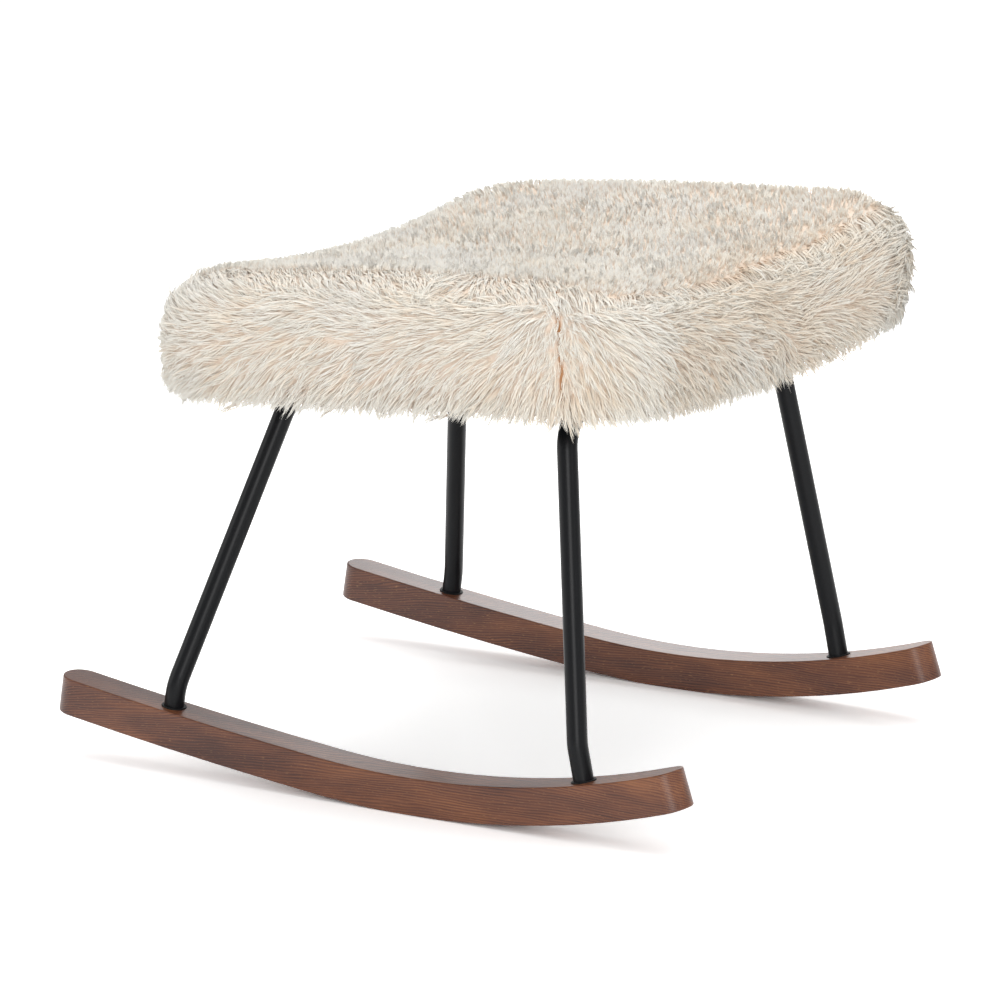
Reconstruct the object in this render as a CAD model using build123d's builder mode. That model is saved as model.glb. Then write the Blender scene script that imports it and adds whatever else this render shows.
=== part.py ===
from build123d import *
import math
import os

os.makedirs("parts", exist_ok=True)

# Rocking footstool: a dished, fur-covered cushion on two bent steel tube hoops, whose four
# feet stand in the sockets of two curved wooden rockers.
#
# Frame: +Z up from the floor, +X along the rockers towards their more curved end, Y across
# the stool. The origin is on the floor, midway between the rockers' ends.

# ---- driving dimensions (mm) --------------------------------------------------------------
# rockers
ROCKER_WIDTH = 32.0
ROCKER_THICK = 30.0
ROCKER_SPACING = 427.0  # centre to centre, across the stool
SOLE_RADIUS = 759.0  # underside of the curved part
TAIL_RADIUS = 4900.0  # underside of the nearly straight tail, towards -X
CONTACT_X = 45.0  # middle of the soles' flats, on the floor
REST_FLAT = 64.0  # length of the flat planed on each sole, so the stool stands still
TAIL_ANGLE = 6.18  # arc from the contact point back to the tail, degrees
NOSE_ANGLE = 18.43  # arc from the contact point to the nose, degrees
TAIL_SWEEP = 2.93  # arc of the tail, degrees
END_ROUND = 15.5  # plan radius of the rounded rocker ends
EDGE_SOFTENING = 1.2

# tube hoops
TUBE_DIA = 16.0
TUBE_WALL = 1.5
KNEE_RADIUS = 45.0
CORNER_RADIUS = 32.0
LEFT_FOOT_X = -178.2
RIGHT_FOOT_X = 192.9
LEFT_KNEE_LIFT = 17.0  # along the socket axis, above the rocker's top
RIGHT_KNEE_LIFT = 28.0
LEFT_CORNER = (-118.7, 126.8)  # X, and Y either side, where the leg meets the crossbar
RIGHT_CORNER = (152.4, 170.8)

# foot joint: socket, bush, threaded plug, bolt from below
SOCKET_DEPTH = 18.0
BUSH_DIA = 20.0
BUSH_PROUD = 1.0
PLUG_LENGTH = 16.0
BOLT_DIA = 6.0
BOLT_LENGTH = 20.0
BOLT_HEAD_DIA = 10.0
BOLT_HEAD_HEIGHT = 4.6
BOLT_CLEARANCE_DIA = 6.6
HEX_KEY_SIZE = 4.0
RECESS_DIA = 14.0
RECESS_DEPTH = 7.0
WASHER_THICK = 1.2

# cushion, outer form with the fur pressed lightly, so the longest hair stands a little proud
SEAT_X = 38.0  # centre of the seat
SEAT_Z = 319.8  # underside of the board at the centre
SEAT_SLOPE = math.degrees(math.atan(0.06))  # the +X end is the higher
SEAT_LENGTH = 447.0
SEAT_WIDTH = 548.0
SEAT_CORNER = 85.0
LEFT_PULL_IN = 8.0  # how far each end is drawn in between its corners
RIGHT_PULL_IN = 14.0
SEAT_DEPTH = 110.0  # fur to fur at the centre
DISH_RADIUS = 1600.0  # board's underside, across the stool
CROWN_RADIUS = 3022.0  # top, along the stool
TOP_RIM = 55.0
BOTTOM_RIM = 39.0
FUR = 21.0
WADDING = 6.0
BOARD_THICK = 12.0
TUCK_UNDER = 20.0  # how far the cover is turned under the board
DUST_COVER_THICK = 0.8
DUST_COVER_GAP = 1.0

# rails that carry the board on the two crossbars
RAIL_Y = 85.0
RAIL_WIDTH = 30.0
RAIL_THICK = 4.0
RAIL_OVERHANG = 14.0
SCREWS_PER_RAIL = 3
SCREW_INSET = 42.0
SCREW_DIA = 6.0
SCREW_LENGTH = 16.0
SCREW_HEAD_DIA = 11.0
SCREW_HEAD_HEIGHT = 4.0
SCREW_WASHER_DIA = 14.0
TEE_NUT_FLANGE_DIA = 20.0
TEE_NUT_FLANGE_THICK = 1.5
TEE_NUT_BARREL_DIA = 8.0

# staples along the dust cover's edge
STAPLE_CROWN = 10.0
STAPLE_WIRE = 1.2
STAPLE_HEIGHT = 0.6
STAPLE_PITCH = 42.0
STAPLE_INSET = 8.0
STAPLE_CLEARANCE = 1.0  # least distance from a staple to a rail

SIDES = {"near": -1, "far": 1}
ENDS = {"left": LEFT_FOOT_X, "right": RIGHT_FOOT_X}


def write(part, name):
    """Label a finished piece and write its STEP file."""
    part.label = name
    export_step(part, f"parts/{name}.step")


# ---- rocker curve ------------------------------------------------------------------------
# The sole is two tangent arcs; both centres lie on the line that is square to the sole
# where the arcs meet. The floor is at the level of the flat, a little above the main arc's
# lowest point.
tail_sine = math.sin(math.radians(TAIL_ANGLE))
tail_cosine = math.cos(math.radians(TAIL_ANGLE))
centre_step = TAIL_RADIUS - SOLE_RADIUS
main_height = math.sqrt(SOLE_RADIUS**2 - (REST_FLAT / 2) ** 2)
MAIN_CENTRE = (CONTACT_X, main_height)
TAIL_CENTRE = (CONTACT_X + centre_step * tail_sine, main_height + centre_step * tail_cosine)
STRAIGHT_DOWN = 270.0


def rocker_edges(lift):
    """Tail arc and main arc of the rocker at a height above its sole, from tail to nose."""
    tail = CenterArc(
        TAIL_CENTRE, TAIL_RADIUS - lift, STRAIGHT_DOWN - TAIL_ANGLE - TAIL_SWEEP, TAIL_SWEEP
    )
    main = CenterArc(
        MAIN_CENTRE, SOLE_RADIUS - lift, STRAIGHT_DOWN - TAIL_ANGLE, TAIL_ANGLE + NOSE_ANGLE
    )
    return tail, main


def foot_plane(end_x, side):
    """Plane on the rocker's top at a foot: its normal is the socket's axis, pointing up."""
    if end_x < CONTACT_X - SOLE_RADIUS * tail_sine:
        (centre_x, centre_z), radius = TAIL_CENTRE, TAIL_RADIUS - ROCKER_THICK
    else:
        (centre_x, centre_z), radius = MAIN_CENTRE, SOLE_RADIUS - ROCKER_THICK
    top_z = centre_z - math.sqrt(radius**2 - (end_x - centre_x) ** 2)
    upwards = (centre_x - end_x, 0, centre_z - top_z)
    return Plane(origin=(end_x, side * ROCKER_SPACING / 2, top_z), x_dir=(0, 1, 0), z_dir=upwards)


FEET = {
    f"{side}_{end}": foot_plane(end_x, sign)
    for side, sign in SIDES.items()
    for end, end_x in ENDS.items()
}

# ---- rockers -----------------------------------------------------------------------------
with BuildPart() as near_rocker:
    with BuildSketch(Plane.XZ.offset(ROCKER_SPACING / 2)):
        with BuildLine():
            sole_tail, sole_main = rocker_edges(0)
            top_tail, top_main = rocker_edges(ROCKER_THICK)
            Line(sole_tail @ 0, top_tail @ 0)
            Line(sole_main @ 1, top_main @ 1)
        make_face()
    extrude(amount=ROCKER_WIDTH / 2, both=True)
    # the four short upright edges, at the tail and the nose
    upright = near_rocker.edges().filter_by(GeomType.LINE).filter_by(Axis.Y, reverse=True)
    fillet(upright, END_ROUND)
    long_edges = near_rocker.edges().filter_by(GeomType.LINE, reverse=True)
    fillet(long_edges, EDGE_SOFTENING)
    split(bisect_by=Plane.XY, keep=Keep.TOP)  # the flat
    for end in ENDS:
        foot = FEET[f"near_{end}"]
        with Locations(foot):
            CounterBoreHole(BOLT_CLEARANCE_DIA / 2, BUSH_DIA / 2, SOCKET_DEPTH, ROCKER_THICK + 5)
        with Locations(foot.offset(-ROCKER_THICK)):
            Cylinder(
                RECESS_DIA / 2,
                2 * RECESS_DEPTH,
                mode=Mode.SUBTRACT,
            )
write(near_rocker.part, "near_rocker")

with BuildPart() as far_rocker:
    add(mirror(near_rocker.part, about=Plane.XZ))
write(far_rocker.part, "far_rocker")

# ---- seat frame --------------------------------------------------------------------------
slope = math.radians(SEAT_SLOPE)
along_seat = Vector(math.cos(slope), 0, math.sin(slope))
SEAT = Plane(origin=(SEAT_X, 0, SEAT_Z), x_dir=along_seat, z_dir=along_seat.cross(Vector(0, 1, 0)))
# across the seat: local x is Y, local y is the seat's upward normal
ACROSS = Plane(origin=SEAT.origin, x_dir=(0, 1, 0), z_dir=along_seat)

# the board's underside rises towards the rails, and each rail lies square to it
rail_roll = math.asin(RAIL_Y / DISH_RADIUS)
rail_rise = DISH_RADIUS * (1 - math.cos(rail_roll))
rail_bottom = RAIL_THICK + DUST_COVER_THICK
crossbar_top = (
    rail_rise - RAIL_WIDTH / 2 * math.sin(rail_roll) - rail_bottom * math.cos(rail_roll)
)
crossbar_axis = crossbar_top - TUBE_DIA / 2


def on_crossbar(corner, side):
    """Point where a leg's axis meets its crossbar's axis."""
    x, y = corner
    z = SEAT_Z + (x - SEAT_X) * math.tan(slope) + crossbar_axis / math.cos(slope)
    return Vector(x, side * y, z)


# ---- tube hoops --------------------------------------------------------------------------
def hoop_corners(end, knee_lift, corner):
    """Corners of a hoop's centre line, from the near foot round to the far foot."""
    points = []
    for side, sign in SIDES.items():
        foot = FEET[f"{side}_{end}"]
        leg = [
            foot.from_local_coords((0, 0, -SOCKET_DEPTH)),
            foot.from_local_coords((0, 0, knee_lift)),
            on_crossbar(corner, sign),
        ]
        points += leg if side == "near" else leg[::-1]
    return points


with BuildPart() as left_leg_hoop:
    with BuildLine() as left_route:
        FilletPolyline(
            *hoop_corners("left", LEFT_KNEE_LIFT, LEFT_CORNER),
            radius=[KNEE_RADIUS, CORNER_RADIUS, CORNER_RADIUS, KNEE_RADIUS],
        )
    with BuildSketch(Plane(left_route.line @ 0, z_dir=left_route.line % 0)):
        Circle(TUBE_DIA / 2)
        Circle(TUBE_DIA / 2 - TUBE_WALL, mode=Mode.SUBTRACT)
    sweep()
write(left_leg_hoop.part, "left_leg_hoop")

with BuildPart() as right_leg_hoop:
    with BuildLine() as right_route:
        FilletPolyline(
            *hoop_corners("right", RIGHT_KNEE_LIFT, RIGHT_CORNER),
            radius=[KNEE_RADIUS, CORNER_RADIUS, CORNER_RADIUS, KNEE_RADIUS],
        )
    with BuildSketch(Plane(right_route.line @ 0, z_dir=right_route.line % 0)):
        Circle(TUBE_DIA / 2)
        Circle(TUBE_DIA / 2 - TUBE_WALL, mode=Mode.SUBTRACT)
    sweep()
write(right_leg_hoop.part, "right_leg_hoop")

# ---- foot joints -------------------------------------------------------------------------
SOCKET_FLOOR = -SOCKET_DEPTH
RECESS_CEILING = RECESS_DEPTH - ROCKER_THICK
HEAD_SEAT = RECESS_CEILING - WASHER_THICK
UP = (Align.CENTER, Align.CENTER, Align.MIN)
DOWN = (Align.CENTER, Align.CENTER, Align.MAX)


def feet_at(height):
    """The four feet's planes, moved along their sockets' axes."""
    return Locations(*(foot.offset(height) for foot in FEET.values()))


for foot_name, foot in FEET.items():
    with BuildPart() as foot_bush:
        with BuildSketch(foot.offset(SOCKET_FLOOR)):
            Circle(BUSH_DIA / 2)
            Circle(TUBE_DIA / 2, mode=Mode.SUBTRACT)
        extrude(amount=SOCKET_DEPTH + BUSH_PROUD)
        lip = foot_bush.faces().sort_by(Axis(foot.origin, foot.z_dir))[-1]
        chamfer(lip.edges().sort_by(SortBy.LENGTH)[-1], BUSH_PROUD / 2)
    write(foot_bush.part, f"{foot_name}_bush")

with BuildPart() as tube_end_plugs:
    with feet_at(SOCKET_FLOOR):
        Cylinder(TUBE_DIA / 2 - TUBE_WALL, PLUG_LENGTH, align=UP)
        Cylinder(BOLT_DIA / 2, PLUG_LENGTH, align=UP, mode=Mode.SUBTRACT)
write(tube_end_plugs.part, "tube_end_plugs")

with BuildPart() as rocker_washers:
    with feet_at(RECESS_CEILING):
        Cylinder(RECESS_DIA / 2 - 1, WASHER_THICK, align=DOWN)
        Cylinder(BOLT_CLEARANCE_DIA / 2, WASHER_THICK, align=DOWN, mode=Mode.SUBTRACT)
write(rocker_washers.part, "rocker_washers")

with BuildPart() as rocker_bolts:
    with feet_at(HEAD_SEAT):
        Cylinder(BOLT_DIA / 2, BOLT_LENGTH, align=UP)
        Cylinder(BOLT_HEAD_DIA / 2, BOLT_HEAD_HEIGHT, align=DOWN)
    for foot in FEET.values():
        with BuildSketch(foot.offset(HEAD_SEAT - BOLT_HEAD_HEIGHT)):
            RegularPolygon(HEX_KEY_SIZE / 2, 6, major_radius=False)
        extrude(amount=BOLT_HEAD_HEIGHT / 2, mode=Mode.SUBTRACT)
write(rocker_bolts.part, "rocker_bolts")

# ---- cushion layers ----------------------------------------------------------------------
FAR_BEYOND = 300.0  # reach of the cutting profiles past the seat's surfaces
FOAM_INSET = FUR + WADDING
TOP_LEVEL = SEAT_DEPTH - FUR  # top of the fur, above the board's underside
CROWN_AXIS = Axis(ACROSS.from_local_coords((0, TOP_LEVEL - CROWN_RADIUS)), (0, 1, 0))


def seat_outline(inset):
    """Plan of a layer: straight sides, ends drawn in between rounded corners."""
    half_length = SEAT_LENGTH / 2 - inset
    half_width = SEAT_WIDTH / 2 - inset
    with BuildSketch() as plan:
        with BuildLine():
            near = Line((-half_length, -half_width), (half_length, -half_width))
            far = Line((half_length, half_width), (-half_length, half_width))
            ThreePointArc(near @ 1, (half_length - RIGHT_PULL_IN, 0), far @ 0)
            ThreePointArc(far @ 1, (LEFT_PULL_IN - half_length, 0), near @ 0)
        make_face()
        fillet(plan.vertices(), SEAT_CORNER - inset)
    return plan.sketch


def dished_section(level, far_side):
    """Section across the seat, between a dished line and a straight line far from it."""
    edge_y = SEAT_WIDTH
    edge_z = DISH_RADIUS - math.sqrt((DISH_RADIUS - level) ** 2 - edge_y**2)
    with BuildSketch() as section:
        with BuildLine():
            dish = ThreePointArc((-edge_y, edge_z), (0, level), (edge_y, edge_z))
            Polyline(dish @ 1, (edge_y, far_side), (-edge_y, far_side), dish @ 0)
        make_face()
    return section.sketch


def seat_layer(inset, bottom, rim=0, bottom_rim=0):
    """A layer from a dished bottom up to the crowned top, its inset below the fur's surface."""
    with BuildPart() as layer:
        with BuildSketch(SEAT):
            add(seat_outline(inset))
        extrude(amount=FAR_BEYOND, both=True)
        with BuildSketch(ACROSS):
            add(dished_section(bottom, FAR_BEYOND))
        extrude(amount=SEAT_LENGTH, both=True, mode=Mode.INTERSECT)
        with BuildSketch(ACROSS):
            add(dished_section(TOP_LEVEL - inset, -FAR_BEYOND))
        revolve(axis=CROWN_AXIS, mode=Mode.INTERSECT)
        upwards = Axis(SEAT.origin, SEAT.z_dir)
        if rim:
            fillet(layer.faces().sort_by(upwards)[-1].edges(), rim)
        if bottom_rim:
            fillet(layer.faces().sort_by(upwards)[0].edges(), bottom_rim)
    return layer.part


fur_form = seat_layer(0, -FUR, TOP_RIM, BOTTOM_RIM)
wadding_form = seat_layer(FUR, 0, TOP_RIM - FUR)
foam_form = seat_layer(FOAM_INSET, 0, TOP_RIM - FOAM_INSET)

with BuildPart() as fur_cover:
    add(fur_form)
    add(wadding_form, mode=Mode.SUBTRACT)
    # the opening under the board, inside the part of the cover that is turned under
    with BuildSketch(SEAT.offset(2 * BOARD_THICK)):
        add(seat_outline(FUR + TUCK_UNDER))
    extrude(amount=-SEAT_DEPTH, mode=Mode.SUBTRACT)
write(fur_cover.part, "fur_cover")

with BuildPart() as wadding_layer:
    add(wadding_form)
    add(foam_form, mode=Mode.SUBTRACT)
write(wadding_layer.part, "wadding_layer")

with BuildPart() as seat_foam:
    add(foam_form)
    with BuildSketch(ACROSS):
        add(dished_section(BOARD_THICK, FAR_BEYOND))
    extrude(amount=SEAT_LENGTH, both=True, mode=Mode.INTERSECT)
write(seat_foam.part, "seat_foam")


# ---- seat board and what fastens it ------------------------------------------------------
def board_plane(x, y, turn=0):
    """Plane on the board's underside at a place in the seat's frame, turned in radians."""
    roll = math.asin(y / DISH_RADIUS)
    rise = DISH_RADIUS * (1 - math.cos(roll))
    square = SEAT.z_dir * math.cos(roll) - SEAT.y_dir * math.sin(roll)
    sideways = square.cross(SEAT.x_dir)
    heading = SEAT.x_dir * math.cos(turn) + sideways * math.sin(turn)
    return Plane(SEAT.from_local_coords((x, y, rise)), x_dir=heading, z_dir=square)


left_bar, right_bar = (
    SEAT.to_local_coords(on_crossbar(corner, 1)).X for corner in (LEFT_CORNER, RIGHT_CORNER)
)
rail_centre = (left_bar + right_bar) / 2
rail_length = right_bar - left_bar + 2 * RAIL_OVERHANG
screw_step = (rail_length - 2 * SCREW_INSET) / (SCREWS_PER_RAIL - 1)
screw_steps = [screw_step * (i - (SCREWS_PER_RAIL - 1) / 2) for i in range(SCREWS_PER_RAIL)]
SCREW_SPOTS = [
    (rail_centre + step, sign * RAIL_Y) for sign in SIDES.values() for step in screw_steps
]


def screws_at(height):
    """The rail screws' planes, at a height square to the board's underside."""
    return Locations(*(board_plane(x, y).offset(height) for x, y in SCREW_SPOTS))


def board_sheet(inset, bottom, top):
    """A dished sheet between two levels, cut to the seat's plan at an inset."""
    with BuildPart() as sheet:
        with BuildSketch(SEAT):
            add(seat_outline(inset))
        extrude(amount=FAR_BEYOND, both=True)
        with BuildSketch(ACROSS):
            add(dished_section(bottom, FAR_BEYOND))
            add(dished_section(top, FAR_BEYOND), mode=Mode.SUBTRACT)
        extrude(amount=SEAT_LENGTH, both=True, mode=Mode.INTERSECT)
    return sheet.part


with BuildPart() as seat_board:
    add(board_sheet(FOAM_INSET, 0, BOARD_THICK))
    with screws_at(BOARD_THICK):
        CounterBoreHole(
            TEE_NUT_BARREL_DIA / 2, TEE_NUT_FLANGE_DIA / 2, TEE_NUT_FLANGE_THICK, 2 * BOARD_THICK
        )
write(seat_board.part, "seat_board")

with BuildPart() as dust_cover:
    add(board_sheet(FUR + TUCK_UNDER + DUST_COVER_GAP, -DUST_COVER_THICK, 0))
    with screws_at(BOARD_THICK):
        Hole(TEE_NUT_BARREL_DIA / 2, 2 * BOARD_THICK)
write(dust_cover.part, "dust_cover")

with BuildPart() as board_tee_nuts:
    with screws_at(BOARD_THICK):
        Cylinder(TEE_NUT_FLANGE_DIA / 2, TEE_NUT_FLANGE_THICK, align=DOWN)
        Cylinder(TEE_NUT_BARREL_DIA / 2, BOARD_THICK, align=DOWN)
        Cylinder(SCREW_DIA / 2, BOARD_THICK, align=DOWN, mode=Mode.SUBTRACT)
write(board_tee_nuts.part, "board_tee_nuts")

for side, sign in SIDES.items():
    with BuildPart() as mounting_rail:
        with BuildSketch(board_plane(rail_centre, sign * RAIL_Y).offset(-rail_bottom)):
            Rectangle(rail_length, RAIL_WIDTH)
            with Locations(*((step, 0) for step in screw_steps)):
                Circle(BOLT_CLEARANCE_DIA / 2, mode=Mode.SUBTRACT)
        extrude(amount=RAIL_THICK)
        through = Axis(SEAT.origin, board_plane(0, sign * RAIL_Y).z_dir)
        fillet(mounting_rail.edges().filter_by(through), RAIL_WIDTH / 4)
    write(mounting_rail.part, f"{side}_mounting_rail")

with BuildPart() as rail_washers:
    with screws_at(-rail_bottom):
        Cylinder(SCREW_WASHER_DIA / 2, WASHER_THICK, align=DOWN)
        Cylinder(BOLT_CLEARANCE_DIA / 2, WASHER_THICK, align=DOWN, mode=Mode.SUBTRACT)
write(rail_washers.part, "rail_washers")

with BuildPart() as rail_screws:
    with screws_at(-rail_bottom - WASHER_THICK):
        Cylinder(SCREW_DIA / 2, SCREW_LENGTH, align=UP)
        Cylinder(SCREW_HEAD_DIA / 2, SCREW_HEAD_HEIGHT, align=DOWN)
    for x, y in SCREW_SPOTS:
        head = board_plane(x, y).offset(-rail_bottom - WASHER_THICK - SCREW_HEAD_HEIGHT)
        with BuildSketch(head):
            RegularPolygon(HEX_KEY_SIZE / 2, 6, major_radius=False)
        extrude(amount=SCREW_HEAD_HEIGHT / 2, mode=Mode.SUBTRACT)
write(rail_screws.part, "rail_screws")

# staples lie along the dust cover's edge, each in line with it, with none where the rails end
hem = seat_outline(FUR + TUCK_UNDER + DUST_COVER_GAP + STAPLE_INSET).wire()
staple_count = round(hem.length / STAPLE_PITCH)
with BuildPart() as cover_staples:
    for i in range(staple_count):
        spot = hem.position_at(i / staple_count)
        along = hem.tangent_at(i / staple_count)
        over_rail = abs(abs(spot.Y) - RAIL_Y) < (RAIL_WIDTH + STAPLE_CROWN) / 2 + STAPLE_CLEARANCE
        if over_rail:
            continue
        turn = math.atan2(along.Y, along.X)
        with Locations(board_plane(spot.X, spot.Y, turn).offset(-DUST_COVER_THICK)):
            Box(STAPLE_CROWN, STAPLE_WIRE, STAPLE_HEIGHT, align=DOWN)
write(cover_staples.part, "cover_staples")
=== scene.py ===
import math
import random

import bmesh
import bpy
import numpy as np
from mathutils import Matrix, Vector, noise


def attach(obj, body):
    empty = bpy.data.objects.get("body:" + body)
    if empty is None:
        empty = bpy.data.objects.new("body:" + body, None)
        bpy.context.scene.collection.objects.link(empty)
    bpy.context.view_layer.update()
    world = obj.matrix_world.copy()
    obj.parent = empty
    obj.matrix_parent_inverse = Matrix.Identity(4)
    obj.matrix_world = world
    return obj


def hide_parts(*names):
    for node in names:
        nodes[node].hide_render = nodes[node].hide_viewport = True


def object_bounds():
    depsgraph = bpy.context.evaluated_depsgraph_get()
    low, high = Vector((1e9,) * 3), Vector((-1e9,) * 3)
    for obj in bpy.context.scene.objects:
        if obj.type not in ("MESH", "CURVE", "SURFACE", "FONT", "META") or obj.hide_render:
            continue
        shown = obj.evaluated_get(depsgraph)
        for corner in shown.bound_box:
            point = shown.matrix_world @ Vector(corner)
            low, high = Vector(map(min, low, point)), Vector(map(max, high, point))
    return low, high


# A rocking footstool: walnut-stained rockers, satin black tube hoops and a dished cushion in
# cream long-hair fur. Everything is in metres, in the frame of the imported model.
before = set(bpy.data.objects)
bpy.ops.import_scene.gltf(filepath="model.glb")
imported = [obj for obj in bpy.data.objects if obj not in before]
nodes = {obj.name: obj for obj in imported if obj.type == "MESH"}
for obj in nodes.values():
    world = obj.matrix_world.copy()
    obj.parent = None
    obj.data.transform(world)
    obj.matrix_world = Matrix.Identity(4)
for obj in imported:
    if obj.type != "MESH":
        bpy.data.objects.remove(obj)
cad_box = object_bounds()
MM = 0.001
HAIR_MAP = "OFBake"  # the hair colours come from this map alone
dice = random.Random(7)
noise.seed_set(7)  # unseeded, noise_vector gives other values in each run


# ---- small helpers -------------------------------------------------------------------------
def colour(hex_text):
    """An sRGB hex colour as linear RGBA."""
    channels = []
    for i in (0, 2, 4):
        c = int(hex_text[i:i + 2], 16) / 255
        channels.append(c / 12.92 if c <= 0.04045 else ((c + 0.055) / 1.055) ** 2.4)
    return (*channels, 1.0)


def step(value, low, high):
    """0 below low, 1 above high, and smooth between them."""
    share = min(1.0, max(0.0, (value - low) / (high - low)))
    return share * share * (3 - 2 * share)


def placed(name, data, place=(0, 0, 0), aim=None):
    """Adds an object to the scene; a lamp or camera looks at its aim."""
    made = bpy.data.objects.new(name, data)
    made.location = place
    if aim is not None:
        made.rotation_euler = (Vector(aim) - Vector(place)).to_track_quat("-Z", "Y").to_euler()
    bpy.context.scene.collection.objects.link(made)
    return made


def mesh_object(name, bm):
    """Adds an object that takes over a bmesh's faces."""
    mesh = bpy.data.meshes.new(name)
    bm.to_mesh(mesh)
    bm.free()
    return placed(name, mesh)


def shade_smooth(mesh):
    mesh.polygons.foreach_set("use_smooth", [True] * len(mesh.polygons))


def feed(made, **inputs):
    """Sets a node's inputs to values or links them to sockets. _0 is its first input, and so on."""
    for key, value in inputs.items():
        socket = made.inputs[int(key[1:]) if key[1:].isdigit() else key.replace("_", " ")]
        if isinstance(value, bpy.types.NodeSocket):
            made.id_data.links.new(value, socket)
        else:
            socket.default_value = value


def node(tree, kind, settings=None, **inputs):
    """Adds a shader node. settings are its properties, and feed takes its inputs."""
    made = tree.nodes.new("ShaderNode" + kind)
    for key, value in (settings or {}).items():
        setattr(made, key, value)
    feed(made, **inputs)
    return made


def maths(tree, operation, *values, clamp=False):
    """A maths node's output."""
    inputs = {f"_{place}": value for place, value in enumerate(values)}
    return node(tree, "Math", {"operation": operation, "use_clamp": clamp}, **inputs).outputs[0]


def ramp(tree, factor, *stops):
    """The colour of a ramp through (position, hex colour) stops."""
    made = node(tree, "ValToRGB", Fac=factor)
    elements = made.color_ramp.elements
    while len(elements) < len(stops):
        elements.new(0.5)
    for element, (position, shade) in zip(elements, stops):
        element.position = position
        element.color = colour(shade)
    return made.outputs["Color"]


def mix(tree, share, first, second, blend="MIX"):
    """One colour mixed into another."""
    return node(tree, "Mix", {"data_type": "RGBA", "blend_type": blend},
                _0=share, _6=first, _7=second).outputs[2]


def object_place(tree):
    """The place on the piece, in metres."""
    return node(tree, "TexCoord").outputs["Object"]


def speckle(tree, scale, detail):
    """Even noise with scale cells per metre."""
    return node(tree, "TexNoise", Vector=object_place(tree), Scale=scale, Detail=detail).outputs["Fac"]


def stretched(tree, place, along, across, **settings):
    """Noise whose cells are long in X: along and across are its scales in cells per metre."""
    seen = node(tree, "Mapping", Vector=place, Scale=(along, across, across)).outputs[0]
    return node(tree, "TexNoise", Vector=seen, Scale=1.0, **settings).outputs["Fac"]


def bump(tree, height, strength, distance):
    """A surface's normals under fine relief of the given height in metres."""
    return node(tree, "Bump", Height=height, Strength=strength, Distance=distance).outputs[0]


def material(name):
    """A new material, its node tree and its Principled shader."""
    made = bpy.data.materials.new(name)
    made.use_nodes = True
    tree = made.node_tree
    return made, tree, tree.nodes["Principled BSDF"]


# ---- materials -----------------------------------------------------------------------------
SEAM_PLANE_NORMAL, SEAM_PLANE_OFFSET = (0.846, 0.533, 0.051), -0.0484  # of the side band's seam
SEAM_SIDE = -0.225  # the seam is on the near side, below this Y


def walnut_stained_ash():
    """Ash sawn from straight stock and stained walnut brown under a satin lacquer.

    The growth lines are 2 mm apart. They rise a little towards +X in the tail and level out
    at the nose, so they run off the curved edges. Short pale pores follow them.
    """
    made, tree, shader = material("walnut_stained_ash")
    place = object_place(tree)
    split = node(tree, "SeparateXYZ", Vector=place)
    x, y, z = (split.outputs[axis] for axis in "XYZ")
    rise = maths(tree, "MULTIPLY", x, maths(tree, "MULTIPLY_ADD", x, 0.144, -0.058))
    drift = maths(tree, "MULTIPLY_ADD", stretched(tree, place, 14, 60, Detail=2.0), 0.007, rise)
    level = maths(tree, "ADD", z, maths(tree, "MULTIPLY_ADD", y, 0.45, drift))
    board = node(tree, "CombineXYZ", X=x, Y=y, Z=level).outputs[0]
    lines = node(tree, "TexWave", {"wave_type": "BANDS", "bands_direction": "Z"},
                 Vector=board, Scale=150.0, Distortion=0.0).outputs["Fac"]
    lines = maths(tree, "MULTIPLY", lines, stretched(tree, board, 22, 260, Detail=2.0))
    fibres = stretched(tree, board, 60, 1500, Detail=3.0, Roughness=0.6)
    patches = stretched(tree, place, 12, 45, Detail=2.0)
    paler = maths(tree, "MULTIPLY_ADD", x, 0.35, patches)
    mixed = maths(tree, "MULTIPLY_ADD", fibres, 0.45, maths(tree, "MULTIPLY", paler, 0.85))
    mixed = maths(tree, "MULTIPLY_ADD", lines, -0.55, mixed)
    stain = ramp(tree, mixed, (0.25, "3f2016"), (0.45, "573020"), (0.65, "6d4029"), (0.85, "875535"))
    pores = node(tree, "MapRange", Value=stretched(tree, board, 230, 1900, Detail=1.0),
                 From_Min=0.66, From_Max=0.74, To_Max=0.5).outputs[0]
    feed(shader, Base_Color=mix(tree, pores, stain, colour("a97b52")), Roughness=0.36, IOR=1.5,
         Normal=bump(tree, maths(tree, "ADD", fibres, lines), 0.2, 0.0003))
    return made


def black_powder_coat():
    """Fine satin black powder coat: near black, with the slight orange peel of a baked coat."""
    made, tree, shader = material("black_powder_coat")
    peel = speckle(tree, 900.0, 2.0)
    feed(shader, Base_Color=ramp(tree, peel, (0.3, "0d0e10"), (0.7, "131417")), Roughness=0.33,
         Specular_IOR_Level=0.17, Normal=bump(tree, peel, 0.12, 0.0003))
    return made


def black_nylon():
    """Moulded nylon bushes and plugs: matt black with a faint moulded grain."""
    made, tree, shader = material("black_nylon")
    grain = speckle(tree, 2500.0, 2.0)
    feed(shader, Base_Color=ramp(tree, grain, (0.3, "0f0f10"), (0.7, "181819")), Roughness=0.55,
         Specular_IOR_Level=0.2, Normal=bump(tree, grain, 0.2, 0.0002))
    return made


def zinc_plate():
    """Bright zinc-plated steel: bluish grey, with soft blotches left by the bath."""
    made, tree, shader = material("zinc_plate")
    bath = speckle(tree, 350.0, 3.0)
    rough = node(tree, "MapRange", Value=bath, To_Min=0.25, To_Max=0.42).outputs[0]
    feed(shader, Base_Color=ramp(tree, bath, (0.3, "a4a9b0"), (0.7, "c6c9cc")), Roughness=rough,
         Metallic=1.0)
    return made


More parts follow.
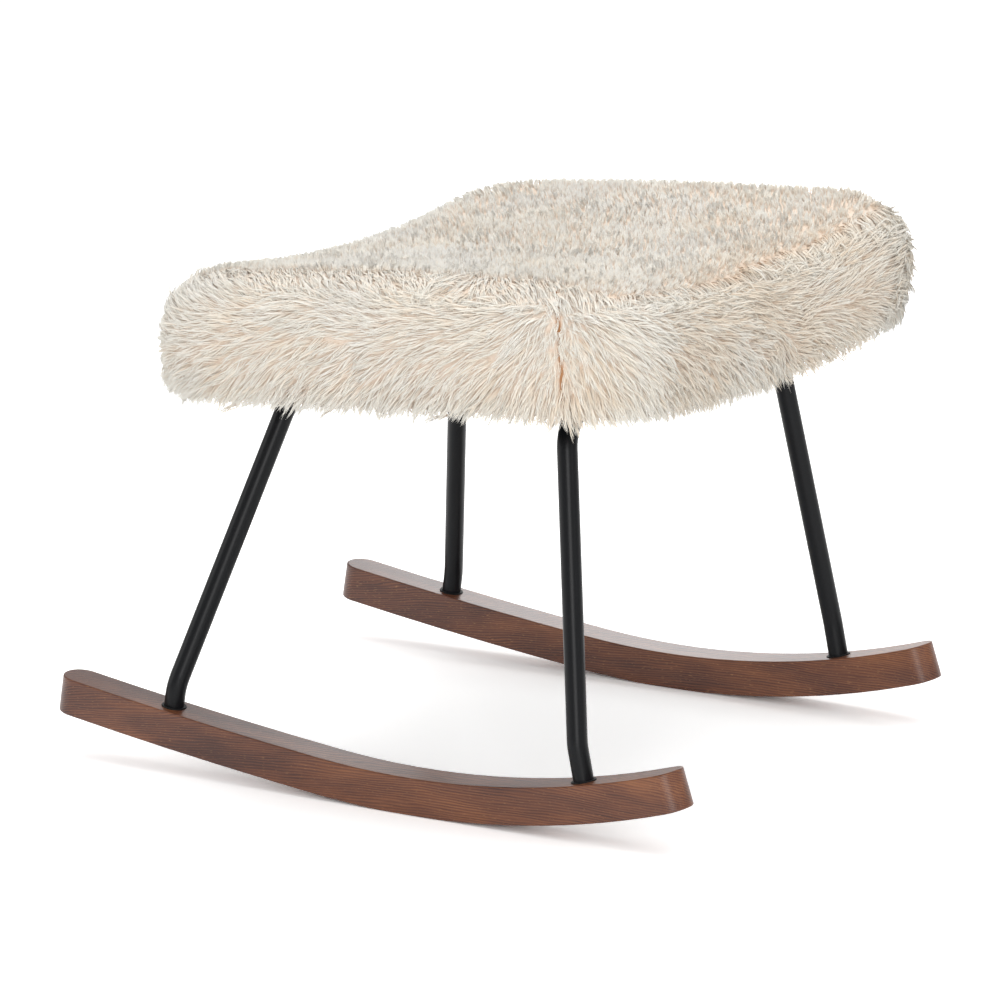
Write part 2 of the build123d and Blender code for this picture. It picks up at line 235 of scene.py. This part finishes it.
def birch_plywood():
    """Moulded birch plywood: pale straw faces with long fine fibres along X."""
    made, tree, shader = material("birch_plywood")
    drawn_out = node(tree, "Mapping", Vector=object_place(tree), Scale=(12, 260, 700)).outputs[0]
    fibres = node(tree, "TexNoise", Vector=drawn_out, Scale=1.0, Detail=4.0).outputs["Fac"]
    feed(shader, Base_Color=ramp(tree, fibres, (0.3, "b78f5f"), (0.7, "d3b383")), Roughness=0.6)
    return made


def fur_hair():
    """Long sheepskin hair: cream at the tips, warmer and pinker towards the roots.

    The hair's own map holds a lock's tone across and the place along the hair upwards.
    """
    made, tree, shader = material("cream_sheepskin_hair")
    hair_map = node(tree, "UVMap", {"uv_map": HAIR_MAP}).outputs[0]
    where = node(tree, "SeparateXYZ", Vector=hair_map)
    length = ramp(tree, where.outputs["Y"],
                  (0.0, "edd5bf"), (0.3, "f7eadc"), (0.65, "fcf9f1"), (1.0, "fefcf6"))
    tone = ramp(tree, where.outputs["X"], (0.0, "f8ebdc"), (0.5, "fffdf9"), (1.0, "ffffff"))
    feed(shader, Base_Color=mix(tree, 1.0, length, tone, "MULTIPLY"), Roughness=0.6,
         Specular_IOR_Level=0.2)
    return made


def fur_hide():
    """The hide under the hair: warm beige wool, and a brown line where the side band's ends meet, partly
    their thread and partly painted shade in the seam's gap.
    """
    made, tree, shader = material("fur_hide")
    felt = speckle(tree, 260.0, 3.0)
    wool = ramp(tree, felt, (0.3, "eed8c4"), (0.7, "f8eada"))
    # the line's plane cuts the far side too, so the line is kept to the near one
    split = node(tree, "SeparateXYZ", Vector=object_place(tree))
    beside = SEAM_PLANE_OFFSET
    for axis, share in zip("ZYX", SEAM_PLANE_NORMAL[::-1]):
        beside = maths(tree, "MULTIPLY_ADD", split.outputs[axis], share, beside)
    line = node(tree, "MapRange", Value=maths(tree, "ABSOLUTE", beside), From_Min=0.001,
                From_Max=0.0026, To_Min=1.0, To_Max=0.0).outputs[0]
    # the brown seam line stands partly for the thread and partly for painted shade in the gap where the
    # hair parts
    seam = maths(tree, "MULTIPLY", line, maths(tree, "LESS_THAN", split.outputs["Y"], SEAM_SIDE))
    feed(shader, Base_Color=mix(tree, seam, wool, colour("b5835a")), Roughness=0.9,
         Normal=bump(tree, felt, 0.6, 0.001))
    return made


def soft_layer(name, dark, pale, grain):
    """Cut foam or carded wadding: matt, with cells or fibres of the given size in metres."""
    made, tree, shader = material(name)
    cells = node(tree, "TexVoronoi", Vector=object_place(tree), Scale=1 / grain).outputs["Distance"]
    feed(shader, Base_Color=ramp(tree, cells, (0.1, dark), (0.6, pale)), Roughness=0.95,
         Normal=bump(tree, cells, 0.5, grain / 2))
    return made


def dust_cloth():
    """Spun-bonded black dust cloth: matt, with its pattern of small bonded points."""
    made, tree, shader = material("dust_cloth")
    points = node(tree, "TexVoronoi", {"feature": "F1"}, Vector=object_place(tree), Scale=700.0,
                  Randomness=0.25).outputs["Distance"]
    feed(shader, Base_Color=ramp(tree, points, (0.15, "16161a"), (0.6, "2c2c31")), Roughness=0.85,
         Normal=bump(tree, points, 0.4, 0.0005))
    return made


def white_floor():
    """A matt floor: white to the camera and in mirrors and glass, light grey to the light."""
    made, tree, shader = material("white_floor")
    rays = node(tree, "LightPath").outputs
    seen = maths(tree, "ADD", rays["Is Camera Ray"], rays["Is Glossy Ray"], clamp=True)
    seen = maths(tree, "ADD", seen, rays["Is Transmission Ray"], clamp=True)
    matt = node(tree, "BsdfDiffuse", Color=mix(tree, seen, (0.75, 0.75, 0.75, 1), (1.5, 1.5, 1.5, 1)))
    feed(tree.nodes["Material Output"], Surface=matt.outputs[0])
    tree.nodes.remove(shader)
    return made


HAIR = fur_hair()
HIDE = fur_hide()

# the finish of each CAD piece that stays
FINISHES = (
    (walnut_stained_ash(), ("near_rocker", "far_rocker")),
    (black_powder_coat(), ("left_leg_hoop", "right_leg_hoop", "near_mounting_rail", "far_mounting_rail")),
    (black_nylon(), ("near_left_bush", "near_right_bush", "far_left_bush", "far_right_bush",
                     "tube_end_plugs")),
    (zinc_plate(), ("rocker_washers", "rocker_bolts", "rail_washers", "rail_screws",
                    "board_tee_nuts", "cover_staples")),
    (birch_plywood(), ("seat_board",)),
    (soft_layer("cut_foam", "cdbb7c", "efe2ae", 1.2 * MM), ("seat_foam",)),
    (soft_layer("carded_wadding", "d9d9d6", "f6f6f4", 2 * MM), ("wadding_layer",)),
    (dust_cloth(), ("dust_cover",)),
)
for finish, pieces in FINISHES:
    for name in pieces:
        slots = nodes[name].data.materials
        slots.clear()
        slots.append(finish)

# ---- the seat's frame ------------------------------------------------------------------------
SEAT_CENTRE = Vector((0.0380, 0.0, 0.3198))
SLOPE = math.atan(0.06)  # the +X end is the higher
SEAT_X = Vector((math.cos(SLOPE), 0.0, math.sin(SLOPE)))
SEAT_UP = Vector((-math.sin(SLOPE), 0.0, math.cos(SLOPE)))
DISH_RADIUS = 1.6
SEAM_AZIMUTH = -57.8  # degrees round the seat, where the side band's ends are sewn together
CROWN_AZIMUTH = 42.0  # degrees round the seat, where the band's two combed ways meet


def in_seat(point):
    """A point as (along, across, height above the board's dished underside)."""
    offset = point - SEAT_CENTRE
    rise = DISH_RADIUS - math.sqrt(DISH_RADIUS ** 2 - offset.y ** 2)
    return offset.dot(SEAT_X), offset.y, offset.dot(SEAT_UP) - rise


def azimuth(along, across):
    """Degrees round the seat, from +X."""
    return math.degrees(math.atan2(across, along))


def seam_distance(along, across):
    """How far round the seat a place is from the side band's seam."""
    return abs(math.radians(azimuth(along, across) - SEAM_AZIMUTH)) * math.hypot(along, across)


def bump_of(point, centre, reach):
    """1 at a centre, falling smoothly to 0 at its reach along each axis."""
    share = min(1.0, math.sqrt(sum(((p - c) / r) ** 2 for p, c, r in zip(point, centre, reach))))
    return (1 - share * share) ** 2


# ---- the cover's hide ------------------------------------------------------------------------
LOCK_SPACING = 5.6 * MM  # one lock grows on each of the hide's faces, or two
HIDE_DEPTH = 4 * MM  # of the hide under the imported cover's surface, which is the pressed hair
OPENING_HALF = (0.182, 0.233)  # half-length and half-width of the opening under the board
OPENING_HEIGHT = 5 * MM  # over the board's underside, up to which faces belong to the opening
WELT_HEIGHT = 68 * MM  # of the seam between the top panel and the side band
WELT_DEPTH, WELT_HALF = 1.5 * MM, 7 * MM  # of the groove that this seam draws in, and its half-width
SEAM_DEPTH, SEAM_HALF = 3 * MM, 8 * MM  # the same for the seam in the side band
# hollows and swells of the stuffed cover: centre, reach and how far out, all in metres
HOLLOW = Vector((0.250, 0.030, 0.372))  # of the high end
SWELLS = (
    (HOLLOW, (0.060, 0.090, 0.075), -0.006),
    (Vector((0.225, 0.200, 0.405)), (0.100, 0.085, 0.055), 0.008),  # far corner lobe
    (Vector((0.030, -0.277, 0.358)), (0.016, 0.030, 0.030), -0.005),  # dent in the near side
    (Vector((0.169, -0.245, 0.425)), (0.020, 0.016, 0.016), -0.004),  # gathers by the seam
    (Vector((0.196, -0.246, 0.420)), (0.018, 0.016, 0.016), -0.004),
)


def joined_copy(name, *sources):
    """One mesh object holding merged copies of some nodes' meshes."""
    bm = bmesh.new()
    for source in sources:
        bm.from_mesh(nodes[source].data)
    bmesh.ops.remove_doubles(bm, verts=bm.verts, dist=0.01 * MM)
    return mesh_object(name, bm)


def remesh(piece, cell):
    """Turns a piece into one closed skin of square faces."""
    change = piece.modifiers.new("remesh", "REMESH")
    change.mode = "VOXEL"
    change.voxel_size = cell
    graph = bpy.context.evaluated_depsgraph_get()
    mesh = bpy.data.meshes.new_from_object(piece.evaluated_get(graph))
    piece.modifiers.remove(change)
    piece.data = mesh


def soften(bm):
    """Draws every vertex half way to the middle of its neighbours."""
    bmesh.ops.smooth_vert(bm, verts=bm.verts, factor=0.5,
                          use_axis_x=True, use_axis_y=True, use_axis_z=True)
    bm.normal_update()


def in_opening(point, normal, margin=0.0):
    """Whether a place is in the opening under the board, or within a margin round it."""
    along, across, height = in_seat(point)
    inside = (along / (OPENING_HALF[0] + margin)) ** 8 + (across / (OPENING_HALF[1] + margin)) ** 8 < 1
    return inside and height < OPENING_HEIGHT and normal.z < 0.4


def sewn_in(point):
    """How far the seams draw the hide in at a place."""
    along, across, height = in_seat(point)
    welt = WELT_DEPTH * max(0.0, 1 - abs(height - WELT_HEIGHT) / WELT_HALF)
    seam = SEAM_DEPTH * max(0.0, 1 - seam_distance(along, across) / SEAM_HALF)
    return max(welt, seam * (1 - step(height, 0.060, 0.080)))


def make_hide():
    """The sewn cover without its hair: open under the board, drawn in by its seams and unevenly full."""
    hide = joined_copy("fur_cover_hide", "fur_cover", "wadding_layer", "seat_foam", "seat_board",
                       "dust_cover")
    remesh(hide, LOCK_SPACING)
    bm = bmesh.new()
    bm.from_mesh(hide.data)
    soften(bm)
    opening = [f for f in bm.faces if in_opening(f.calc_center_median(), f.normal)]
    bmesh.ops.delete(bm, geom=opening, context="FACES")
    bm.normal_update()
    moves = []
    for v in bm.verts:
        out = -HIDE_DEPTH - sewn_in(v.co)
        for centre, reach, push in SWELLS:
            out += push * bump_of(v.co, centre, reach)
        moves.append(v.normal * out)
    for v, move in zip(bm.verts, moves):
        v.co += move
    soften(bm)
    bm.to_mesh(hide.data)
    bm.free()
    hide.data.materials.clear()
    hide.data.materials.append(HIDE)
    shade_smooth(hide.data)
    return hide


hide = make_hide()
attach(hide, "root")
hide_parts("fur_cover")

# ---- one lock of hair ------------------------------------------------------------------------
KINDS = 20  # of each habit, from the darkest tone to the lightest
GUARD_HAIRS, UNDER_HAIRS = 5, 4  # in a lock of the side band
HAIR_LENGTH = 25 * MM  # of the combed hair
HAIR_HEIGHT = 7 * MM  # how far its tips stand above the hide
PILE_HAIRS = 12  # in a lock of the top panel, whose hair stands up
PILE_REACH, PILE_HEIGHT = 5.5 * MM, 9.5 * MM
ROOT_DEPTH = 1.5 * MM  # of the roots in the hide
TUFT_SPREAD, ROOT_SPREAD = 2.4 * MM, 1.6 * MM  # of a lock's tufts, and of a tuft's roots
HAIR_RADII = (0.30 * MM, 0.46 * MM)  # thinnest and thickest
CORNERS = 3  # of a hair's section
# rings of a strand: share of its length out, share of its rise, thickness
GUARD_RINGS = ((0.0, 0.0, 1.0), (0.25, 0.58, 1.0), (0.62, 1.0, 0.75), (1.0, 0.93, 0.03))
UNDER_RINGS = ((0.0, 0.0, 1.0), (0.42, 0.62, 0.9), (1.0, 0.80, 0.03))
PILE_RINGS = ((0.0, 0.0, 1.0), (0.3, 0.62, 0.95), (1.0, 1.0, 0.03))
DRAPE_RINGS = ((0.0, 0.0, 1.0), (0.25, 0.6, 1.0), (0.6, 0.5, 0.8), (1.0, -0.35, 0.03))


def strand_form(strand, habit):
    """A strand's rings, its reach along the hide and its rise from it."""
    if habit == "pile":
        return PILE_RINGS, PILE_REACH * dice.uniform(0.85, 1.1), PILE_HEIGHT * dice.uniform(0.9, 1.08)
    if strand < GUARD_HAIRS:
        rings = DRAPE_RINGS if habit == "drape" else GUARD_RINGS
        return rings, HAIR_LENGTH * dice.uniform(0.85, 1.05), HAIR_HEIGHT * dice.uniform(0.9, 1.12)
    return UNDER_RINGS, HAIR_LENGTH * dice.uniform(0.5, 0.8), HAIR_HEIGHT * dice.uniform(0.6, 0.8)


def ring_tube(bm, count, radius):
    """An open tube of count rings, all in one place as yet. Gives each ring's vertices."""
    turn = Matrix.Rotation(dice.uniform(0, 6.28), 4, "Z")
    ring = bmesh.ops.create_circle(bm, segments=CORNERS, radius=radius, matrix=turn)["verts"]
    edges = list(dict.fromkeys(e for v in ring for e in v.link_edges))
    rings = [ring]
    while len(rings) < count:
        grown = bmesh.ops.extrude_edge_only(bm, edges=edges)["geom"]
        fresh = [v for v in grown if isinstance(v, bmesh.types.BMVert)]
        edges = [e for e in grown
                 if isinstance(e, bmesh.types.BMEdge) and all(v in fresh for v in e.verts)]
        rings.append(fresh)
    return rings


def lock_kind(number, habit):
    """A lock of hair that lies over towards +X, stands as pile or drapes over an edge.

    It has two or three tufts, and a tuft's strands are drawn together at the tips.
    """
    bm = bmesh.new()
    uv = bm.loops.layers.uv.new(HAIR_MAP)
    standing = habit == "pile"
    strands = PILE_HAIRS if standing else GUARD_HAIRS + UNDER_HAIRS
    # how far a tuft's tips are drawn together, and how far over its hairs' tips turn, in radians
    together, tip_turn = (0.7, 0.7) if standing else (0.75, 1.35)
    tufts = [(dice.uniform(-TUFT_SPREAD, TUFT_SPREAD), dice.uniform(-TUFT_SPREAD, TUFT_SPREAD),
              dice.uniform(-2, 2) * MM, dice.uniform(0.78, 1.0)) for _ in range(3 if standing else 2)]
    for strand in range(strands):
        tuft_x, tuft_y, bend, size = tufts[strand % len(tufts)]
        shape, reach, rise = strand_form(strand, habit)
        reach, rise = reach * size, rise * size
        root_x, root_y = (dice.uniform(-ROOT_SPREAD, ROOT_SPREAD) for _ in range(2))
        sway = bend + dice.uniform(-0.7, 0.7) * MM
        curl = dice.uniform(-0.6, 0.6) * MM
        rings = ring_tube(bm, len(shape), dice.uniform(*HAIR_RADII))
        tone = (number + 0.1 + 0.8 * strand / strands) / KINDS
        for level, (verts, (out, up, thin)) in enumerate(zip(rings, shape)):
            apart = 1 - together * out
            middle = Vector((
                tuft_x + root_x * apart + reach * out,
                tuft_y + root_y * apart + sway * math.sin(math.pi * out * 0.8)
                + curl * math.sin(math.pi * 1.6 * out),
                rise * up - ROOT_DEPTH))
            lean = Matrix.Rotation(tip_turn * step(out, -0.2, 0.9), 4, "Y")
            for corner, v in enumerate(verts):
                v.co = lean @ (v.co * thin) + middle
                for loop in v.link_loops:
                    loop[uv].uv = (tone + 0.006 * corner, 0.02 + 0.96 * level / (len(shape) - 1))
        bmesh.ops.remove_doubles(bm, verts=rings[-1], dist=0.1 * MM)
    bmesh.ops.recalc_face_normals(bm, faces=bm.faces)
    mesh = bpy.data.meshes.new(f"lock_{number}")
    bm.to_mesh(mesh)
    bm.free()
    return mesh


# ---- how the hair is combed ------------------------------------------------------------------
PATCH_LEAN = Vector((0.34, 0.20, 0.0))  # of the top panel's combed patches
PATCHES_ALONG, PATCHES_ACROSS = 9, 24  # of them per metre


def top_flow(along, across, level, habit):
    """How the top panel's hair leans in its long patches, or lies where it drapes over the edge."""
    if habit == "drape":
        meeting = math.exp(-((along - 0.062) / 0.024) ** 2)  # where the draped hair turns the other way
        near_side = Vector((1.0 - 1.6 * meeting, -1.0, 0.0))
        return level.normalized().lerp(near_side, step(-across, 0.16, 0.21))
    patch = noise.noise(Vector(((across * 0.5 + along * 0.87) * PATCHES_ALONG,
                                (across * 0.87 - along * 0.5) * PATCHES_ACROSS, 3.0)))
    return Vector((-0.03, 0.05, 0.0)) + PATCH_LEAN * min(1.0, max(-1.0, 2.6 * patch))


def side_flow(along, across, height, level, normal):
    """How the side band's hair lies: from its seam both ways round, lower towards the bottom."""
    round_seat = azimuth(along, across)
    from_seam = (round_seat - SEAM_AZIMUTH) % 360
    drop = 0.12 + 0.95 * (1 - step(height, 0.0, 0.045))
    if SEAM_AZIMUTH < round_seat < CROWN_AZIMUTH:
        way, away = 1.0, from_seam
    else:
        way, away = -1.0, 360 - from_seam
    # it drops most beside the seam, and rises again at the ends; away is in degrees
    fan = 2.6 * (1 - step(away, 0, 9)) + 0.5 * (1 - step(away, 5, 20))
    if way > 0:
        drop += fan + 0.35 * (1 - step(away, 20, 62)) - 0.45 * step(away, 66, 96)
    else:
        drop += fan + 0.25 * (1 - step(away, 14, 45))
        drop -= 0.45 * step(away, 45, 75) * (1 - step(away, 95, 120))
    flow = Vector((-normal.y, normal.x, 0.0)).normalized() * way + Vector((0, 0, -drop))
    return flow.lerp(-level * 2, step(-normal.z, 0.55, 0.9))


def combed(point, normal, habit):
    """The way the hair lies at a place on the cover. Its length says how far pile leans."""
    along, across, height = in_seat(point)
    level = Vector((normal.x, normal.y, 0.0))
    on_top = step(height, WELT_HEIGHT - 4 * MM, WELT_HEIGHT + 3 * MM)
    flow = side_flow(along, across, height, level, normal).lerp(
        top_flow(along, across, level, habit), on_top)
    unruly = 1 - on_top * (0.45 + 0.3 * step(normal.z, 0.75, 0.95))
    unruly += 1.5 * bump_of(point, HOLLOW, (0.07, 0.09, 0.08))
    flow += (noise.noise_vector(point * 16) * 0.5 + noise.noise_vector(point * 60) * 0.33) * unruly
    flow -= normal * flow.dot(normal)
    return flow


# ---- the hair on the hide --------------------------------------------------------------------
PIECE_LIMIT = 190000  # triangles in one piece of hair
BARE_MARGIN = 5 * MM  # round the opening
INNER_RIM = 20 * MM  # height up to which the rim's inner face is bare
ON_SEAM, BY_SEAM = 3 * MM, 15 * MM  # distances within which the hair changes for the seam
SEAM_FOOT = 12 * MM  # height above which it does
JITTER = 0.45 * LOCK_SPACING  # of a lock's place


def is_bare(face):
    """Whether no lock grows on one of the hide's faces. Below the seat every other one is bare."""
    point, normal = face.center, face.normal
    if in_opening(point, normal, BARE_MARGIN) or normal.z < -0.75 and face.index % 2:
        return True
    along, across, height = in_seat(point)
    outward = normal.x * along + normal.y * across
    return outward < -0.2 * math.hypot(along, across) and height < INNER_RIM


def growth(point, normal):
    """The habits of the locks at a place, their size and how far they stray, in radians."""
    along, across, height = in_seat(point)
    size = dice.uniform(0.9, 1.08) * (1 - 0.65 * step(-normal.z, 0.6, 0.95))
    astray = 0.18
    if height >= WELT_HEIGHT:
        upright = step(normal.z, 0.8, 0.97) * step(across, -0.24, -0.20)
        return ["drape"] * (upright < 0.75) + ["pile"] * (upright > 0.25), size, astray
    from_seam = seam_distance(along, across)
    if height > SEAM_FOOT and from_seam < ON_SEAM:
        return ["lying"], 0.4, 0.5
    if height > SEAM_FOOT and from_seam < BY_SEAM:
        return ["lying", "lying"], 0.7, 0.4
    return ["lying"], size, astray


def lock_placing(point, normal, habit, size, astray):
    """The matrix that sets a lock on the hide, combed but never quite like its neighbours."""
    flow = combed(point, normal, habit)
    lean, turned = (min(1.0, flow.length), 0.7) if habit == "pile" else (1.0, astray)
    flow.normalize()
    turn = Matrix((flow, normal.cross(flow), normal)).transposed().to_4x4()
    jitter = Vector((dice.uniform(-1, 1), dice.uniform(-1, 1), 0)) * JITTER
    hang = 0.35 * step(-normal.z, 0.1, 0.5)  # the lowest hair leaves the hide and hangs
    # a few locks stand out, most of them at the high end
    loose = 0.4 * (dice.random() < 0.015 + 0.05 * step(point.x, 0.1, 0.2))
    spin = (Matrix.Rotation(dice.gauss(0, turned), 4, "Z")
            @ Matrix.Rotation(dice.gauss(0, 0.05) - hang - loose, 4, "Y"))
    return (Matrix.Translation(point) @ turn @ Matrix.Translation(jitter) @ spin
            @ Matrix.Diagonal((size * lean, size, size, 1)))


def kind_at(point):
    """Which kind of lock grows at a place: the tone varies in patches, and is darker at the high end,
    which is painted shade of that end and its hollow.
    """
    # the last term darkens the high end (+X) as painted shade
    tone = 0.64 + 0.4 * noise.noise(point * 16) + dice.gauss(0, 0.12) - 0.2 * step(point.x, 0.14, 0.24)
    return min(KINDS - 1, max(0, int(tone * KINDS)))


def region_of(point, normal):
    """Name of the part of the cover that a place belongs to."""
    along, across, height = in_seat(point)
    if normal.z < -0.6:
        return "underside"
    if height > WELT_HEIGHT:
        return f"top_{'near' if across < 0 else 'far'}_{'left' if along < 0 else 'right'}"
    if abs(normal.y) > abs(normal.x):
        return "near_side" if normal.y < 0 else "far_side"
    return "left_end" if normal.x < 0 else "right_end"


def shade_as_coat(mesh, counts, coats):
    """Turns the hairs' shading most of the way to the coat's, for light also passes between real hairs.

    counts are the vertices of each lock, and coats the coat's normals there.
    """
    own = np.empty(len(mesh.vertices) * 3, np.float32)
    mesh.vertices.foreach_get("normal", own)
    own = own.reshape(-1, 3)
    coat = np.repeat(np.array(coats, np.float32), counts, axis=0)
    share = 0.62 + 0.34 * (own * coat).sum(axis=1)[:, None]  # most where a hair faces as the coat does
    mixed = own * (1 - share) + coat * share
    mixed /= np.linalg.norm(mixed, axis=1)[:, None]
    mesh.normals_split_custom_set_from_vertices(mixed)


def grow_hair(hide):
    """Grows locks on the hide's faces, gathered by region in pieces of a limited size."""
    kinds = {habit: [lock_kind(i, habit) for i in range(KINDS)] for habit in ("lying", "drape", "pile")}
    per_lock = max(len(kind.polygons) for habit in kinds.values() for kind in habit) * 2
    grown = {}  # locks in each region
    pieces = {}  # a piece's mesh, the vertices of each of its locks and the coat's normals there
    for face in hide.data.polygons:
        if is_bare(face):
            continue
        point, normal = face.center, face.normal
        habits, size, astray = growth(point, normal)
        for habit in habits:
            placing = lock_placing(point, normal, habit, size, astray)
            lock = kinds[habit][kind_at(point)].copy()
            lock.transform(placing)
            region = region_of(point, normal)
            name = f"fur_{region}_{grown.get(region, 0) * per_lock // PIECE_LIMIT + 1}"
            grown[region] = grown.get(region, 0) + 1
            if name not in pieces:
                pieces[name] = bmesh.new(), [], []
            bm, counts, coats = pieces[name]
            bm.from_mesh(lock)
            counts.append(len(lock.vertices))
            coats.append(Vector((normal.x, normal.y, max(normal.z, -0.25))).normalized())
            bpy.data.meshes.remove(lock)
    for name, (bm, counts, coats) in pieces.items():
        piece = mesh_object(name, bm)
        piece.data.materials.append(HAIR)
        shade_smooth(piece.data)
        shade_as_coat(piece.data, counts, coats)
        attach(piece, "root")
    for habit in kinds.values():
        for kind in habit:
            bpy.data.meshes.remove(kind)


grow_hair(hide)

# ---- floor, light and camera -----------------------------------------------------------------
FLOOR_RADIUS, FLOOR_GAP = 14.0, 0.5 * MM  # the gap is between the floor and the soles
WORLD_STRENGTH = 0.68
LAMPS_AIM = Vector((0, 0, 0.3))
CAMERA_PLACE = Vector((2.0606, -3.5349, 1.15875))
CAMERA_AIM = Vector((-0.00512, 0.0, 0.19566))
# place, side of the square in metres, and watts
LAMPS = {
    "overhead": ((0.1, 0.3, 2.4), 2.2, 22),
    "front": (CAMERA_PLACE * 0.8, 1.4, 37),
    "left": ((-2.6, -1.6, 1.0), 1.4, 12),
    "right": ((3.0, -0.6, 1.3), 1.4, 6),
    "back": ((-0.9, 2.8, 1.2), 1.4, 20),
}


def make_floor():
    bm = bmesh.new()
    bmesh.ops.create_circle(bm, cap_ends=True, segments=64, radius=FLOOR_RADIUS)
    floor = mesh_object("floor", bm)
    floor.data.materials.append(white_floor())
    floor.location.z = cad_box[0].z - FLOOR_GAP


def make_world():
    world = bpy.data.worlds.new("studio")
    world.use_nodes = True
    feed(world.node_tree.nodes["Background"], Color=(1, 1, 1, 1), Strength=WORLD_STRENGTH)
    bpy.context.scene.world = world


def make_lamp(name, place, side, power):
    """A square soft box."""
    data = bpy.data.lights.new(name, "AREA")
    data.shape = "SQUARE"
    data.size = side
    data.energy = power
    placed(name, data, place, LAMPS_AIM)


def make_camera():
    data = bpy.data.cameras.new("camera")
    data.sensor_width = 36.0
    data.lens = 189.04
    bpy.context.scene.camera = placed("camera", data, CAMERA_PLACE, CAMERA_AIM)


make_floor()
make_world()
for name, (place, side, power) in LAMPS.items():
    make_lamp(name, place, side, power)
make_camera()
bpy.context.scene.view_settings.view_transform = "Standard"
bpy.context.scene.cycles.diffuse_bounces = 10  # pale hair passes light on many times
